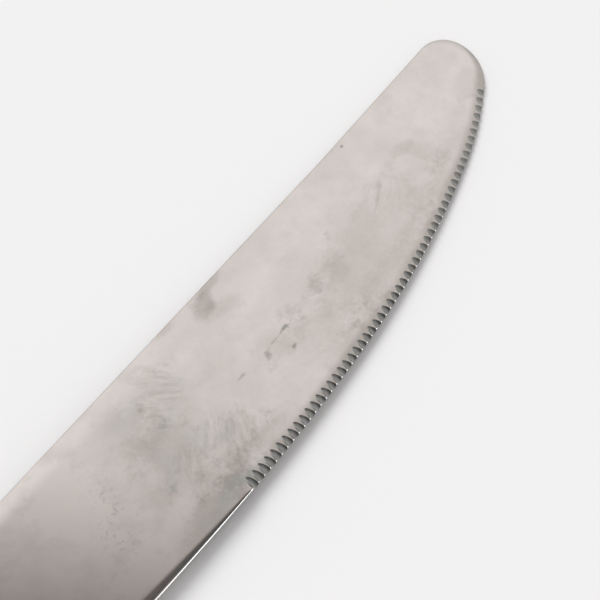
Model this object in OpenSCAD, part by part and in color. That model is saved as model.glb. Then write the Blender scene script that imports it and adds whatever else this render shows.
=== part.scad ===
// Round-nosed table knife with a serrated edge and a hollow handle of two shells.
// Millimetres. +X points to the tip, +Y from the cutting edge to the spine, +Z up.
// The knife lies on its left side, on its butt and its tip, and the origin is on the
// table under the middle of its bounding box.

/* [Blade] */
// Length from the mouth of the handle to the tip
blade_l = 120; // [114:1:135]
// Width from the spine to the edge where the serrations start
blade_w = 21.1; // [18.1:0.5:24.1]
// Length of the serrated sweep, from its start to the tip
sweep_l = 65; // [58:1:70]
// Thickness of the spine at the tip
tip_t = 0.96; // [0.9:0.02:1.2]
// Thickness of the spine at the end of the bolster
spine_t = 1.9; // [1.7:0.1:2.6]
// Thickness of the edge where the serrations start, before the relief behind them
edge_t = 0.62; // [0.54:0.02:0.7]
// Distance from the mouth of the handle to the heel's corner
heel_x = 18.5; // [16.5:0.5:24]
// Distance from the mouth of the handle to the corner between neck and heel
neck_x = 12.5; // [11:0.5:15]
// Radius of the heel's corner
heel_r = 4.5; // [2:0.5:6]
// Radius of the hollow between neck and heel
neck_r = 6; // [3:0.5:8]
// Width of the soft bevel along the spine
spine_bevel_w = 0.9; // [0.4:0.1:1.4]
// Width of the steeper bevel outside it
spine_corner_w = 0.35; // [0.2:0.05:0.5]
// Width of the relief above the blunt edge where it starts, beside the serrations
relief_w = 0.18; // [0.1:0.02:0.4]

/* [Serrations] */
// Distance from one groove to the next along the spine's direction
groove_pitch = 1.09; // [1.01:0.02:1.31]
// Radius of each groove
groove_r = 0.49; // [0.4:0.01:0.49]
// Steel left under a groove at the very edge
groove_land = 0.06; // [0.04:0.01:0.12]
// Distance from the tip at which the grooves end
groove_end = 3.4; // [2.5:0.1:8]

/* [Bolster and tang] */
// Width of the handle's mouth and of the bolster there
mouth_w = 12.6; // [11.6:0.2:14]
// Thickness of the handle's mouth and of the bolster there
mouth_t = 6.4; // [5.8:0.2:7.4]
// Length of the bolster, from the handle's mouth to the flat of the blade
bolster_l = 15; // [12:0.5:16]
// Width of the neck where the bolster runs into the blade
neck_w = 11; // [10:0.2:12]
// Length of the tang inside the handle
tang_l = 54; // [35:1:70]
// Width of the tang
tang_w = 7; // [5:0.5:8]
// Thickness of the tang
tang_t = 2.8; // [2:0.2:3]
// Radius of the keying notches in the tang
tang_notch_r = 1.2; // [0.8:0.1:1.6]

/* [Handle] */
// Length of the handle from its mouth to the butt
handle_l = 120; // [110:1:135]
// Width of the handle at its waist
waist_w = 11.6; // [11:0.2:13]
// Thickness of the handle at its waist
waist_t = 6.2; // [5.8:0.2:7]
// Distance from the mouth to the waist
waist_x = 16; // [10:1:30]
// Width of the handle at the butt
butt_w = 20; // [17:0.5:23]
// Thickness of the handle at the butt
butt_t = 9; // [8:0.2:11]
// Length of the rounded end of the butt
butt_cap_l = 9; // [6:0.5:12]
// Thickness of the shells' sheet steel
shell_wall = 0.8; // [0.5:0.05:1]

/* [Fits] */
// Thickness of the braze in the seam between the shells
seam_t = 0.12; // [0.1:0.02:0.2]
// Thickness of the braze between bolster and shells
mouth_braze_t = 0.2; // [0.1:0.05:0.4]
// Clearance between the tang and the filler that keys it
tang_gap = 0.05; // [0.03:0.01:0.1]

/* [Hidden] */

steel = [0.78, 0.76, 0.74];
polished = [0.83, 0.83, 0.82];
braze = [0.78, 0.70, 0.52];
cement = [0.36, 0.34, 0.31];

// One overrun for every cut
over = 1;

// Blade outline: the spine lifts a little before a nose and a sweep of five tangent arcs.
// The arcs are drawn in shares of the blade's width and then fitted to its length and width.
tip_lift = 1.26;
lift_l_share = 1.07;
sweep_r_shares = [0.176, 0.324, 2.28, 6.1, 12.7];
sweep_turns = [88.4, 60.6, 14.2, 12.2, 5.3];
// Finest facets of those arcs: by turn in degrees, and by length
facet_turn = 8;
facet_l_share = 0.06;
// Radius of the blunt edge in those shares, which runs on from the sweep in one more arc
blunt_r_share = 23.6;
// Facets of the heel's and the neck's corners
corner_steps = 8;

// Slope of the bevels along the spine, of the relief above the blunt edge, and of the grooves
spine_bevel_slope = 9;
spine_corner_slope = 38;
relief_slope = 9;
groove_slope = 22;
// Lean of the grooves off the square across the spine
groove_lean = 1.6;

// Section exponents of the handle and of the bolster's end: 2 is an ellipse, more is squarer
handle_n = 2.5;
root_n = 7;
// Roundness of the butt seen from above
butt_n = 2.3;
// Turn of the last ring of the butt, short of a right angle, which leaves a small flat
butt_turn = 82;
// Facets: half a section, rings along the body and the butt, and rings along the bolster
half_steps = 20;
body_rings = 18;
cap_rings = 9;
bolster_rings = 12;

// Places of the tang's notches as shares of its length, and its taper as a share of its width
tang_notch_shares = [0.4, 0.7];
tang_end_share = 0.75;

// The spine runs on from the top of the bolster
spine_y = mouth_w / 2;
sweep_x = blade_l - sweep_l;
// Fall of each face per millimetre towards the tip, and from the spine towards the edge
taper_x = (spine_t - tip_t) / 2 / (blade_l - bolster_l);
taper_y = ((tip_t - edge_t) / 2 + taper_x * sweep_l) / blade_w;

// Half the blade's thickness at a place on it
function half_t(x, y) = tip_t / 2 + taper_x * (blade_l - x) - taper_y * (spine_y - y);

function unit(v) = v / norm(v);
function total(v, i = 0) = i == len(v) ? 0 : v[i] + total(v, i + 1);
function blend(a, b, t) = a + (b - a) * t * t * (3 - 2 * t);
function power(v, n) = sign(v) * pow(abs(v), 2 / n);

// Points of an arc that turns clockwise from point p and a heading
function arc_points(p, heading, r, turn) =
    let (n = max(ceil(turn / facet_turn), ceil(r * turn * PI / 180 / facet_l_share)),
        c = p + r * [sin(heading), -cos(heading)])
    [for (i = [1:n]) c - r * [sin(heading - turn * i / n), -cos(heading - turn * i / n)]];

// Points of arcs that follow each other, each tangent to the last
function arc_run(p, heading, radii, turns, i = 0) =
    i == len(radii) ? [] :
    let (arc = arc_points(p, heading, radii[i], turns[i]))
    concat(arc, arc_run(arc[len(arc) - 1], heading - turns[i], radii, turns, i + 1));

// Points that round the corner b between a and c
function corner(a, b, c, r) =
    let (u = unit(a - b),
        w = unit(c - b),
        half = acos(u * w) / 2,
        mid = b + unit(u + w) * r / sin(half),
        p = b + u * r / tan(half),
        q = b + w * r / tan(half),
        from = atan2(p[1] - mid[1], p[0] - mid[0]),
        to = atan2(q[1] - mid[1], q[0] - mid[0]),
        turn = (to - from + 540) % 360 - 180)
    [for (i = [0:corner_steps]) mid + r * [cos(from + turn * i / corner_steps),
        sin(from + turn * i / corner_steps)]];

// The sweep in shares of the width, from the start of the lift round the nose to the serrations
lift_share = lift_l_share * [cos(tip_lift), sin(tip_lift)];
sweep_shares = concat([[0, 0], lift_share], arc_run(lift_share, tip_lift, sweep_r_shares, sweep_turns));
sweep_end_share = sweep_shares[len(sweep_shares) - 1];
nose_share = max([for (p = sweep_shares) p[0]]);
scale_x = sweep_l / (nose_share - sweep_end_share[0]);
scale_y = blade_w / -sweep_end_share[1];
function placed(shares) = [for (p = shares)
    [blade_l - (nose_share - p[0]) * scale_x, spine_y + p[1] * scale_y]];
sweep_points = placed(sweep_shares);
sweep_start = [sweep_x, spine_y - blade_w];

// The blunt edge flares a little where it leaves the serrations and turns in towards the heel
blunt_flare = 180 + tip_lift - total(sweep_turns);
blunt_l_share = (sweep_x - heel_x) / scale_x;
blunt_turn = blunt_flare + asin(blunt_l_share / blunt_r_share - sin(blunt_flare));
blunt_points = placed(arc_points(sweep_end_share, blunt_flare - 180, blunt_r_share, blunt_turn));

// Corners of the heel and the neck
heel_corner = blunt_points[len(blunt_points) - 1];
neck_corner = [neck_x, spine_y - neck_w];
heel_points = corner(blunt_points[len(blunt_points) - 3], heel_corner, neck_corner, heel_r);
heel_slope = atan2(heel_corner[1] - sweep_start[1], sweep_x - heel_x);
root_x = bolster_l / 3;
blade_outline = concat(
    [[root_x, spine_y - spine_bevel_w], [bolster_l, spine_y]],
    sweep_points,
    [for (p = blunt_points) if (p[0] > heel_points[0][0] + heel_r / corner_steps) p],
    heel_points,
    corner(heel_corner, neck_corner, [0, neck_corner[1]], neck_r),
    [[root_x, neck_corner[1] + spine_bevel_w]]);

// The serrated edge as a table of x and y, from the tip's lower half to the serrations' start
nose_x = blade_l - groove_end / 2;
edge_table = [for (p = sweep_points) if (p[0] < nose_x && p[1] < spine_y - blade_w / 4) p];
groove_count = floor((sweep_l - groove_end) / groove_pitch);
groove_reach = 4 * edge_t;

// A ring of the handle, as its distance from the shells' mouth and its half width and thickness.
// The inset moves it in from the outside, by the wall for the inside of the shells.
shell_l = handle_l - mouth_braze_t;
cap_x = shell_l - butt_cap_l;
function body_half(mouth, waist, butt, x) =
    x < waist_x ? blend(mouth, waist, x / waist_x) / 2
    : blend(waist, butt, (x - waist_x) / (cap_x - waist_x)) / 2;
function handle_ring(i, inset) =
    i <= body_rings ?
        let (x = cap_x * i / body_rings)
        [x, body_half(mouth_w, waist_w, butt_w, x) - inset,
            body_half(mouth_t, waist_t, butt_t, x) - seam_t / 2 - inset]
    : let (turn = butt_turn * (i - body_rings) / cap_rings)
        [cap_x + (butt_cap_l - inset) * power(sin(turn) / sin(butt_turn), butt_n),
            (butt_w / 2 - inset) * power(cos(turn), butt_n),
            (butt_t / 2 - seam_t / 2 - inset) * power(cos(turn), butt_n)];
last_ring = body_rings + cap_rings;

// Points round the upper half of a section, from one side of the seam to the other
function half_section(a, b) =
    [for (j = [0:half_steps])
        let (turn = 180 * j / half_steps)
        [a * power(cos(turn), handle_n), seam_t / 2 + b * power(sin(turn), handle_n)]];
function turned(section) = [for (j = [0:half_steps]) [-section[j][0], -section[j][1]]];
function full_section(a, b) = concat(half_section(a, b), turned(half_section(a, b)));

function shell_ring(i, inset) =
    let (ring = handle_ring(i, inset))
    [for (p = half_section(ring[1], ring[2])) [-mouth_braze_t - ring[0], p[0], p[1]]];
function whole_ring(i, inset) =
    let (ring = handle_ring(i, inset))
    [for (p = full_section(ring[1], ring[2])) [-mouth_braze_t - ring[0], p[0], p[1]]];

// A ring of the bolster: an oval at the mouth that flattens and squares up into the blade
function bolster_ring(i) =
    let (t = i / bolster_rings,
        a = blend(mouth_w, neck_w, t) / 2,
        b = blend(mouth_t, spine_t, t) / 2,
        n = blend(handle_n, root_n, t),
        steps = 2 * half_steps)
    [for (j = [0:steps - 1])
        let (turn = 360 * j / steps)
        [bolster_l * t, spine_y - a + a * power(cos(turn), n), b * power(sin(turn), n)]];

// The knife leans on its butt and its tip: the line that touches both from below
handle_low = [for (i = [0:last_ring]) let (r = handle_ring(i, 0))
    [-mouth_braze_t - r[0], -seam_t / 2 - r[2]]];
blade_low = [for (p = sweep_points) [p[0], -half_t(p[0], p[1])]];
rest_slope = max([for (h = handle_low) min([for (b = blade_low) (b[1] - h[1]) / (b[0] - h[0])])]);
rest_pitch = atan(rest_slope);
rest_z = min([for (b = blade_low) b[1] - b[0] * rest_slope]) * cos(rest_pitch);
// Middle of the bounding box as the knife lies
front_x = max([for (p = sweep_points) p[0] * cos(rest_pitch) + half_t(p[0], p[1]) * sin(rest_pitch)]);
back_x = min([for (p = handle_low) p[0] * cos(rest_pitch) + p[1] * sin(rest_pitch)]);
low_y = min([for (p = blade_outline) p[1]]);
high_y = max(butt_w / 2, max([for (p = sweep_points) p[1]]));

// Lays its children on the table
module on_table() {
    translate([-(front_x + back_x) / 2, -(low_y + high_y) / 2, -rest_z])
        rotate([0, rest_pitch, 0])
            children();
}

// Skins a list of rings into a solid with a flat face at each end
module skin(rings) {
    n = len(rings[0]);
    last = len(rings) - 1;
    points = [for (ring = rings) each ring];
    walls = [for (i = [0:last - 1]) for (j = [0:n - 1])
        let (k = (j + 1) % n)
        each [[i * n + j, (i + 1) * n + j, i * n + k], [i * n + k, (i + 1) * n + j, (i + 1) * n + k]]];
    near = [for (j = [0:n - 1]) j];
    far = [for (j = [0:n - 1]) last * n + n - 1 - j];
    polyhedron(points, concat(walls, [near], [far]), convexity = 4);
}

// Moves its children into the blade's right face: X along the spine, Z out of the steel
module on_face() {
    pitch = atan(taper_x);
    translate([blade_l, spine_y, tip_t / 2])
        rotate([atan(taper_y * cos(pitch)), pitch, 0])
            children();
}

// Everything on the steel's side of the right face
module face_side() {
    on_face()
        translate([-2 * blade_l, -2 * blade_w, -2 * spine_t])
            cube([3 * blade_l, 3 * blade_w, 2 * spine_t]);
}

// What a bevel along the spine cuts away, from a width in from the spine
module spine_cut(width, slope) {
    on_face()
        translate([-2 * blade_l, -width, 0])
            rotate([-slope, 0, 0])
                cube([3 * blade_l, blade_w, spine_t]);
}

// What the relief above the blunt edge cuts away: it starts just behind the serrations and
// widens towards the heel, where the blade is thicker
module relief_cut() {
    translate([sweep_start[0], sweep_start[1], edge_t / 2 - relief_w * tan(relief_slope)])
        rotate([0, 0, -heel_slope])
            rotate([relief_slope, 0, 0])
                translate([-sweep_x - edge_t / 2, -over, 0])
                    cube([sweep_x, blade_w / 2, spine_t]);
}

// One groove of the serrations, ground slantwise into the right face
module groove(x) {
    y = lookup(x, edge_table);
    translate([x, y, groove_land - half_t(x, y) + groove_r / cos(groove_slope)])
        rotate([90 + groove_slope, 0, -groove_lean])
            cylinder(r = groove_r, h = 2 * groove_reach, center = true, $fn = 32);
}

// The flat of the blade, before the bolster joins it
module blade_flat() {
    difference() {
        intersection() {
            linear_extrude(height = 2 * spine_t, center = true)
                polygon(blade_outline);
            face_side();
            mirror([0, 0, 1])
                face_side();
        }
        for (side = [0, 1])
            mirror([0, 0, side]) {
                spine_cut(spine_bevel_w, spine_bevel_slope);
                spine_cut(spine_corner_w, spine_corner_slope);
                relief_cut();
            }
        for (i = [0:groove_count - 1])
            groove(sweep_x + groove_pitch * (i + 0.5));
    }
}

// Outline of the tang, grown by a clearance for the hollow that takes it
module tang_outline(grow) {
    difference() {
        polygon([[over, -tang_w / 2 - grow], [over, tang_w / 2 + grow],
            [-tang_l - grow, tang_w * tang_end_share / 2 + grow],
            [-tang_l - grow, -tang_w * tang_end_share / 2 - grow]]);
        for (share = tang_notch_shares)
            for (side = [-1, 1])
                translate([-tang_l * share, side * (tang_w / 2 + grow)])
                    circle(r = tang_notch_r - grow, $fn = 32);
    }
}

module tang(grow) {
    linear_extrude(height = tang_t + 2 * grow, center = true)
        tang_outline(grow);
}

module blade() {
    color(steel)
        on_table() {
            blade_flat();
            skin([for (i = [0:bolster_rings]) bolster_ring(i)]);
            tang(0);
        }
}

// The right shell: an outer and an inner half cup, joined along the seam and at the mouth
module half_shell() {
    n = half_steps + 1;
    inner = (last_ring + 1) * n;
    points = concat([for (i = [0:last_ring]) each shell_ring(i, 0)],
        [for (i = [0:last_ring]) each shell_ring(i, shell_wall)]);
    outer_walls = [for (i = [0:last_ring - 1]) for (j = [0:half_steps - 1])
        let (a = i * n + j, b = a + n)
        each [[a, a + 1, b], [a + 1, b + 1, b]]];
    inner_walls = [for (i = [0:last_ring - 1]) for (j = [0:half_steps - 1])
        let (a = inner + i * n + j, b = a + n)
        each [[a, b, a + 1], [a + 1, b, b + 1]]];
    seam_near = [for (i = [0:last_ring - 1])
        let (a = i * n, b = a + n)
        [b, inner + b, inner + a, a]];
    seam_far = [for (i = [0:last_ring - 1])
        let (a = i * n + half_steps, b = a + n)
        [inner + a, inner + b, b, a]];
    mouth = [for (j = [0:half_steps - 1]) [j, inner + j, inner + j + 1, j + 1]];
    butt = last_ring * n;
    outer_end = [for (j = [0:half_steps]) butt + j];
    inner_end = [for (j = [0:half_steps]) inner + butt + half_steps - j];
    end_step = [[butt + half_steps, inner + butt + half_steps, inner + butt, butt]];
    polyhedron(points, concat(outer_walls, inner_walls, seam_near, seam_far, mouth,
        [outer_end], [inner_end], end_step), convexity = 6);
}

module right_handle_shell() {
    color(polished)
        on_table()
            half_shell();
}

module left_handle_shell() {
    color(polished)
        on_table()
            mirror([0, 0, 1])
                half_shell();
}

// Outline of the handle in the plane of the seam
function seam_side(inset, side) = [for (i = [0:last_ring])
    let (r = handle_ring(i, inset))
    [-mouth_braze_t - r[0], side * r[1]]];
function back_again(points) = [for (i = [len(points) - 1:-1:0]) points[i]];
function seam_outline(inset) = concat(seam_side(inset, 1), back_again(seam_side(inset, -1)));

// The thin line of braze between the shells, a U in the plane of the blade
module seam_braze() {
    color(braze)
        on_table()
            linear_extrude(height = seam_t, center = true)
                difference() {
                    polygon(seam_outline(0));
                    polygon(seam_outline(shell_wall));
                }
}

// The ring of braze between the bolster and the mouth of the shells
mouth_a = mouth_w / 2;
mouth_b = (mouth_t - seam_t) / 2;
module mouth_braze() {
    color(braze)
        on_table()
            rotate([90, 0, -90])
                linear_extrude(height = mouth_braze_t)
                    difference() {
                        polygon(full_section(mouth_a, mouth_b));
                        polygon(full_section(mouth_a - shell_wall, mouth_b - shell_wall));
                    }
}

// The cement that fills the handle and keys the tang
module handle_filler() {
    color(cement)
        on_table()
            difference() {
                skin(back_again([for (i = [0:last_ring]) whole_ring(i, shell_wall)]));
                tang(tang_gap);
            }
}

blade();
right_handle_shell();
left_handle_shell();
seam_braze();
mouth_braze();
handle_filler();
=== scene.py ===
"""Looks of a round-nosed table knife with a serrated edge and a hollow handle.

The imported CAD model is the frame. Lengths in the classes are in millimetres in the knife's own
frame, as in the CAD source: x runs from the handle's mouth to the tip, y from the cutting edge to
the spine with the handle's axis at zero, and z out of the serrated face. KnifePlan lays the knife
on the table and turns millimetres into metres. Only the studio's own lengths are in metres, and
its lens and sensor in millimetres.

In names, l is a length, w a width, t a thickness, r a radius and n a superellipse's exponent. A
turn, slope or lean is in degrees.
"""

import logging
import math
from dataclasses import dataclass, field
from enum import Enum, IntEnum
from typing import Any, Optional, Union

import bmesh
import bpy
import numpy as np
from mathutils import Matrix, Vector


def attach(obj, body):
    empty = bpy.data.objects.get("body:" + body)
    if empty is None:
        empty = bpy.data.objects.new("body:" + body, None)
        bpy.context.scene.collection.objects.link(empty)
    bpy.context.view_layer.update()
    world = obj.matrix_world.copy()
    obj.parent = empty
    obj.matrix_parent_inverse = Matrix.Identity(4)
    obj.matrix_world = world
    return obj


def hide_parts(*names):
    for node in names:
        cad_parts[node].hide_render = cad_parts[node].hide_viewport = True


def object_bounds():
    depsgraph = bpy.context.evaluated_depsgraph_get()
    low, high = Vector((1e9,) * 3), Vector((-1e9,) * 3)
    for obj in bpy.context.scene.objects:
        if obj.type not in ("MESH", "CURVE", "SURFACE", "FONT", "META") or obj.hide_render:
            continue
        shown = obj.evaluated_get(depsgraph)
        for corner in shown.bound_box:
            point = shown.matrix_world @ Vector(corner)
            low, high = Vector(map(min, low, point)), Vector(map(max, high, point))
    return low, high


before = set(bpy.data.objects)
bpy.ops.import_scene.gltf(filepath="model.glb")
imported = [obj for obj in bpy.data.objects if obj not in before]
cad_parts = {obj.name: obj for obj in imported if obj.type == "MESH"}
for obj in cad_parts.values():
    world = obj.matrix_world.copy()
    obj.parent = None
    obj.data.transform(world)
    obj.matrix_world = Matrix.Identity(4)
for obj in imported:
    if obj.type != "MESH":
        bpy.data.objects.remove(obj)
CAD_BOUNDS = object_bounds()

log = logging.getLogger("table_knife")

BODY = "root"
MM = 0.001
SHARP_ANGLE = math.radians(35)

Colour = tuple[float, float, float]
Axis = tuple[float, float, float]
Number = Union[float, np.ndarray]

WHITE: Colour = (1.0, 1.0, 1.0)
FORWARD: Axis = (1.0, 0.0, 0.0)
UP: Axis = (0.0, 0.0, 1.0)
ORIGIN: Axis = (0.0, 0.0, 0.0)


def smoothstep(low: float, high: float, x: Number) -> Number:
    """Rise from 0 at low to 1 at high along 3t^2 - 2t^3.

    Args:
        low: Where the rise starts.
        high: Where the rise ends.
        x: Places to evaluate.

    Returns:
        The share of the rise at each place.
    """
    t = np.clip((x - low) / (high - low), 0.0, 1.0)
    return t * t * (3.0 - 2.0 * t)


def ease(start: Number, end: Number, t: Number) -> Number:
    """Value between start and end at share t of a smoothstep, as the CAD source blends sizes."""
    return start + (end - start) * t * t * (3.0 - 2.0 * t)


def signed_power(v: Number, n: Number) -> Number:
    """Coordinate of a superellipse: sign(v) times |v| to the power 2 / n."""
    return np.sign(v) * np.abs(v) ** (2.0 / n)


def smooth_max(a: Number, b: Number, width: Number) -> Number:
    """The larger of two heights with its crease rounded: (a + b + sqrt((a - b)^2 + width^2)) / 2."""
    return (a + b + np.sqrt((a - b) ** 2 + width * width)) / 2


def smooth_min(a: Number, b: Number, width: Number) -> Number:
    """The smaller of two heights with its crease rounded."""
    return -smooth_max(-a, -b, width)


class Side(Enum):
    """A side of the knife: the serrated right face up, or the plain left face down."""

    RIGHT = 1
    LEFT = -1


class Cut(IntEnum):
    """How a face of the blade was finished, as the mesh attribute "ground" gives it."""

    POLISHED = 0
    GROUND = 1
    EDGE = 2


@dataclass(frozen=True)
class Fade:
    """A smooth rise from 0, where a value is low, to an amount, where it is high."""

    low: float
    high: float
    amount: float = 1.0

    def at(self, x: Number) -> Number:
        """The rise at some values."""
        return self.amount * smoothstep(self.low, self.high, x)


@dataclass(frozen=True)
class Rim:
    """Rounding along an outline, where the face falls by fall * (1 - depth / width) ** power."""

    fall: Number
    width: Number
    power: Number

    def at(self, depth: Number) -> Number:
        """Fall of the face at a depth in from the outline."""
        return self.fall * np.clip(1.0 - depth / self.width, 0.0, 1.0) ** self.power

    def toward(self, other: "Rim", share: Number) -> "Rim":
        """Rounding part of the way to another one.

        Args:
            other: The rounding at share 1.
            share: How far to go, from 0 to 1.

        Returns:
            A rounding whose three numbers are blended.
        """
        return Rim(*(a + (b - a) * share for a, b in
                     ((self.fall, other.fall), (self.width, other.width), (self.power, other.power))))


@dataclass
class KnifePlan:
    """The knife's driving sizes, its outline and its place on the table.

    The radii that are shares are shares of the blade's width in the outline as first drawn.
    """

    # blade and heel
    blade_l: float = 120.0
    blade_w: float = 21.1
    tip_t: float = 0.96
    spine_t: float = 1.9
    edge_t: float = 0.62
    heel_x: float = 18.5
    heel_r: float = 4.5
    # bolster, and its neck behind the heel
    bolster_l: float = 15.0
    bolster_thinning: float = 0.15
    neck_x: float = 12.5
    neck_w: float = 11.0
    neck_r: float = 6.0
    root_l: float = 4.0
    root_rounding: float = 0.3
    # handle, from its mouth over the waist to the butt
    handle_l: float = 120.0
    mouth_w: float = 12.6
    mouth_t: float = 6.4
    waist_x: float = 16.0
    waist_w: float = 11.6
    waist_t: float = 6.2
    butt_w: float = 20.0
    butt_t: float = 9.0
    butt_n: float = 2.3
    butt_cap_l: float = 9.0
    seam_t: float = 0.12
    mouth_braze_t: float = 0.2
    # run of arcs from the spine round the nose, and the blunt edge behind it
    sweep_l: float = 65.0
    tip_lift: float = 1.26
    lift_share: float = 1.07
    sweep_r_shares: tuple[float, ...] = (0.176, 0.324, 2.28, 6.1, 12.7)
    sweep_turns: tuple[float, ...] = (88.4, 60.6, 14.2, 12.2, 5.3)
    blunt_r_share: float = 23.6
    # steps of the curves
    arc_step: float = 0.35
    corner_points: int = 40
    body_rings: int = 18
    cap_rings: int = 9
    butt_turn: float = 82.0
    # worked out from the sizes above
    spine_y: float = field(init=False)
    sweep_x: float = field(init=False)
    taper_x: float = field(init=False)
    taper_y: float = field(init=False)
    sweep: np.ndarray = field(init=False, repr=False)
    blunt: np.ndarray = field(init=False, repr=False)
    pitch: float = field(init=False)
    place: np.ndarray = field(init=False, repr=False)

    def __post_init__(self) -> None:
        """Works out the tapers, the outline and the lean on butt and tip."""
        self.spine_y = self.mouth_w / 2
        self.sweep_x = self.blade_l - self.sweep_l
        self.taper_x = (self.spine_t - self.tip_t) / 2 / (self.blade_l - self.bolster_l)
        rim_fall = (self.tip_t - self.edge_t) / 2
        self.taper_y = (rim_fall + self.taper_x * self.sweep_l) / self.blade_w
        self.sweep, blunt_arc = self._arcs()
        self.blunt = self._blunt(blunt_arc)
        self.pitch, self.place = self._rest()

    @property
    def nose_row(self) -> int:
        """Row of the sweep's foremost point."""
        return int(self.sweep[:, 0].argmax())

    @property
    def cap_x(self) -> float:
        """Distance from the shells' mouth to the rounded butt."""
        return self.handle_l - self.mouth_braze_t - self.butt_cap_l

    def half_t(self, x: Number, y: Number) -> Number:
        """Half the blade's thickness, which falls evenly to the tip and to the edge."""
        fall_y = self.taper_y * (self.spine_y - y)
        return self.tip_t / 2 + self.taper_x * (self.blade_l - x) - fall_y

    def upper(self, x: np.ndarray) -> np.ndarray:
        """Height of the spine in plan at each x."""
        spine = self.sweep[:self.nose_row + 1]
        return np.interp(x, spine[:, 0], spine[:, 1])

    def lower(self, x: np.ndarray) -> np.ndarray:
        """Height of cutting edge, heel and neck in plan at each x: the lower of bolster and blade.

        Args:
            x: Distances from the handle's mouth.

        Returns:
            The outline's y at each x.
        """
        edge = np.concatenate([self.blunt, self.sweep[:self.nose_row - 1:-1]])
        blade = np.interp(x, edge[:, 0], edge[:, 1])
        bolster = self.spine_y - 2 * self.bolster_half(x)[0]
        rounding = self.root_rounding * self.root_share(x, self.heel_x)
        return np.where(x < self.bolster_l, smooth_min(blade, bolster, rounding), blade)

    def root_share(self, x: np.ndarray, end: float) -> np.ndarray:
        """Share of the rounding between bolster and blade: full beyond root_l, and gone at an end."""
        return smoothstep(0, self.root_l, x) * (1 - smoothstep(self.bolster_l, end, x))

    def bolster_half(self, x: np.ndarray) -> tuple[np.ndarray, np.ndarray]:
        """Half width and half thickness of the bolster, which thins away beyond its own length.

        Args:
            x: Distances from the handle's mouth.

        Returns:
            The half width and the half thickness at each x.
        """
        t = np.clip(x / self.bolster_l, 0, 1)
        thinning = self.bolster_thinning * np.maximum(x - self.bolster_l, 0)
        half_w = ease(self.mouth_w, self.neck_w, t) / 2
        return half_w, ease(self.mouth_t, self.spine_t, t) / 2 - thinning

    def handle_rings(self, inset: float, x: np.ndarray, turn: np.ndarray, reach: float) -> np.ndarray:
        """Sections of the handle: eased between mouth, waist and butt, then a superellipse's end.

        Args:
            inset: How far the surface lies inside the handle's skin.
            x: Distances from the shells' mouth along the body.
            turn: Angles round the butt, in radians.
            reach: The angle's sine at which the butt has its full length.

        Returns:
            One row a section: distance from the shells' mouth, half width and half thickness.
        """
        front = np.clip(x / self.waist_x, 0, 1)
        back = np.clip((x - self.waist_x) / (self.cap_x - self.waist_x), 0, 1)

        def half(mouth: float, waist: float, butt: float) -> np.ndarray:
            """Half of a size along the body."""
            return np.where(x < self.waist_x, ease(mouth, waist, front), ease(waist, butt, back)) / 2

        body = np.column_stack([x, half(self.mouth_w, self.waist_w, self.butt_w) - inset,
                                half(self.mouth_t, self.waist_t, self.butt_t) - self.seam_t / 2 - inset])
        shrink = np.cos(turn) ** (2 / self.butt_n)
        cap = np.column_stack([
            self.cap_x + (self.butt_cap_l - inset) * (np.sin(turn) / reach) ** (2 / self.butt_n),
            (self.butt_w / 2 - inset) * shrink,
            (self.butt_t / 2 - self.seam_t / 2 - inset) * shrink])
        return np.concatenate([body, cap])

    def to_table(self, points: np.ndarray) -> np.ndarray:
        """Lays points on the table: turns them by the knife's pitch and then moves them.

        Args:
            points: Points in the knife's millimetres.

        Returns:
            Points on the table, in metres.
        """
        cos, sin = math.cos(self.pitch), math.sin(self.pitch)
        turn = np.array([[cos, 0, sin], [0, 1, 0], [-sin, 0, cos]])
        return (points @ turn.T + self.place) * MM

    def _arc(self, start: np.ndarray, heading: float, radius: float, turn: float) -> np.ndarray:
        """Points of an arc that turns clockwise: centre minus radius times the turned normal.

        Args:
            start: Point that the arc leaves.
            heading: Direction of travel there, in degrees.
            radius: The arc's radius.
            turn: The arc's whole turn, in degrees.

        Returns:
            The arc's points after its start, one row each.
        """
        steps = max(2, round(turn / self.arc_step))
        angle = np.radians(heading - turn * np.arange(1, steps + 1) / steps)
        first = math.radians(heading)
        centre = start + radius * np.array([math.sin(first), -math.cos(first)])
        return centre - radius * np.column_stack([np.sin(angle), -np.cos(angle)])

    def _arcs(self) -> tuple[np.ndarray, np.ndarray]:
        """The outline's run of tangent arcs, drawn in shares of the width and then fitted.

        Returns:
            Points from the spine's lift round the nose to the serrations' start, one row each, and
            points of the blunt edge behind them, as far as the heel's corner.
        """
        lift = math.radians(self.tip_lift)
        at = self.lift_share * np.array([math.cos(lift), math.sin(lift)])
        runs, heading = [np.zeros((1, 2)), at[None]], self.tip_lift
        for radius, turn in zip(self.sweep_r_shares, self.sweep_turns):
            runs.append(self._arc(at, heading, radius, turn))
            at, heading = runs[-1][-1], heading - turn
        shares = np.concatenate(runs)
        nose = shares[:, 0].max()
        across = self.blade_w / -shares[-1, 1]
        along = self.sweep_l / (nose - shares[-1, 0])
        flare = math.radians(180 + heading)
        reach = (self.sweep_x - self.heel_x) / along / self.blunt_r_share
        turn = math.degrees(flare + math.asin(reach - math.sin(flare)))
        blunt = self._arc(at, heading, self.blunt_r_share, turn)

        def placed(points: np.ndarray) -> np.ndarray:
            """Points in the knife's millimetres."""
            x = self.blade_l - (nose - points[:, 0]) * along
            return np.column_stack([x, self.spine_y + points[:, 1] * across])

        return placed(shares), placed(blunt)

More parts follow.
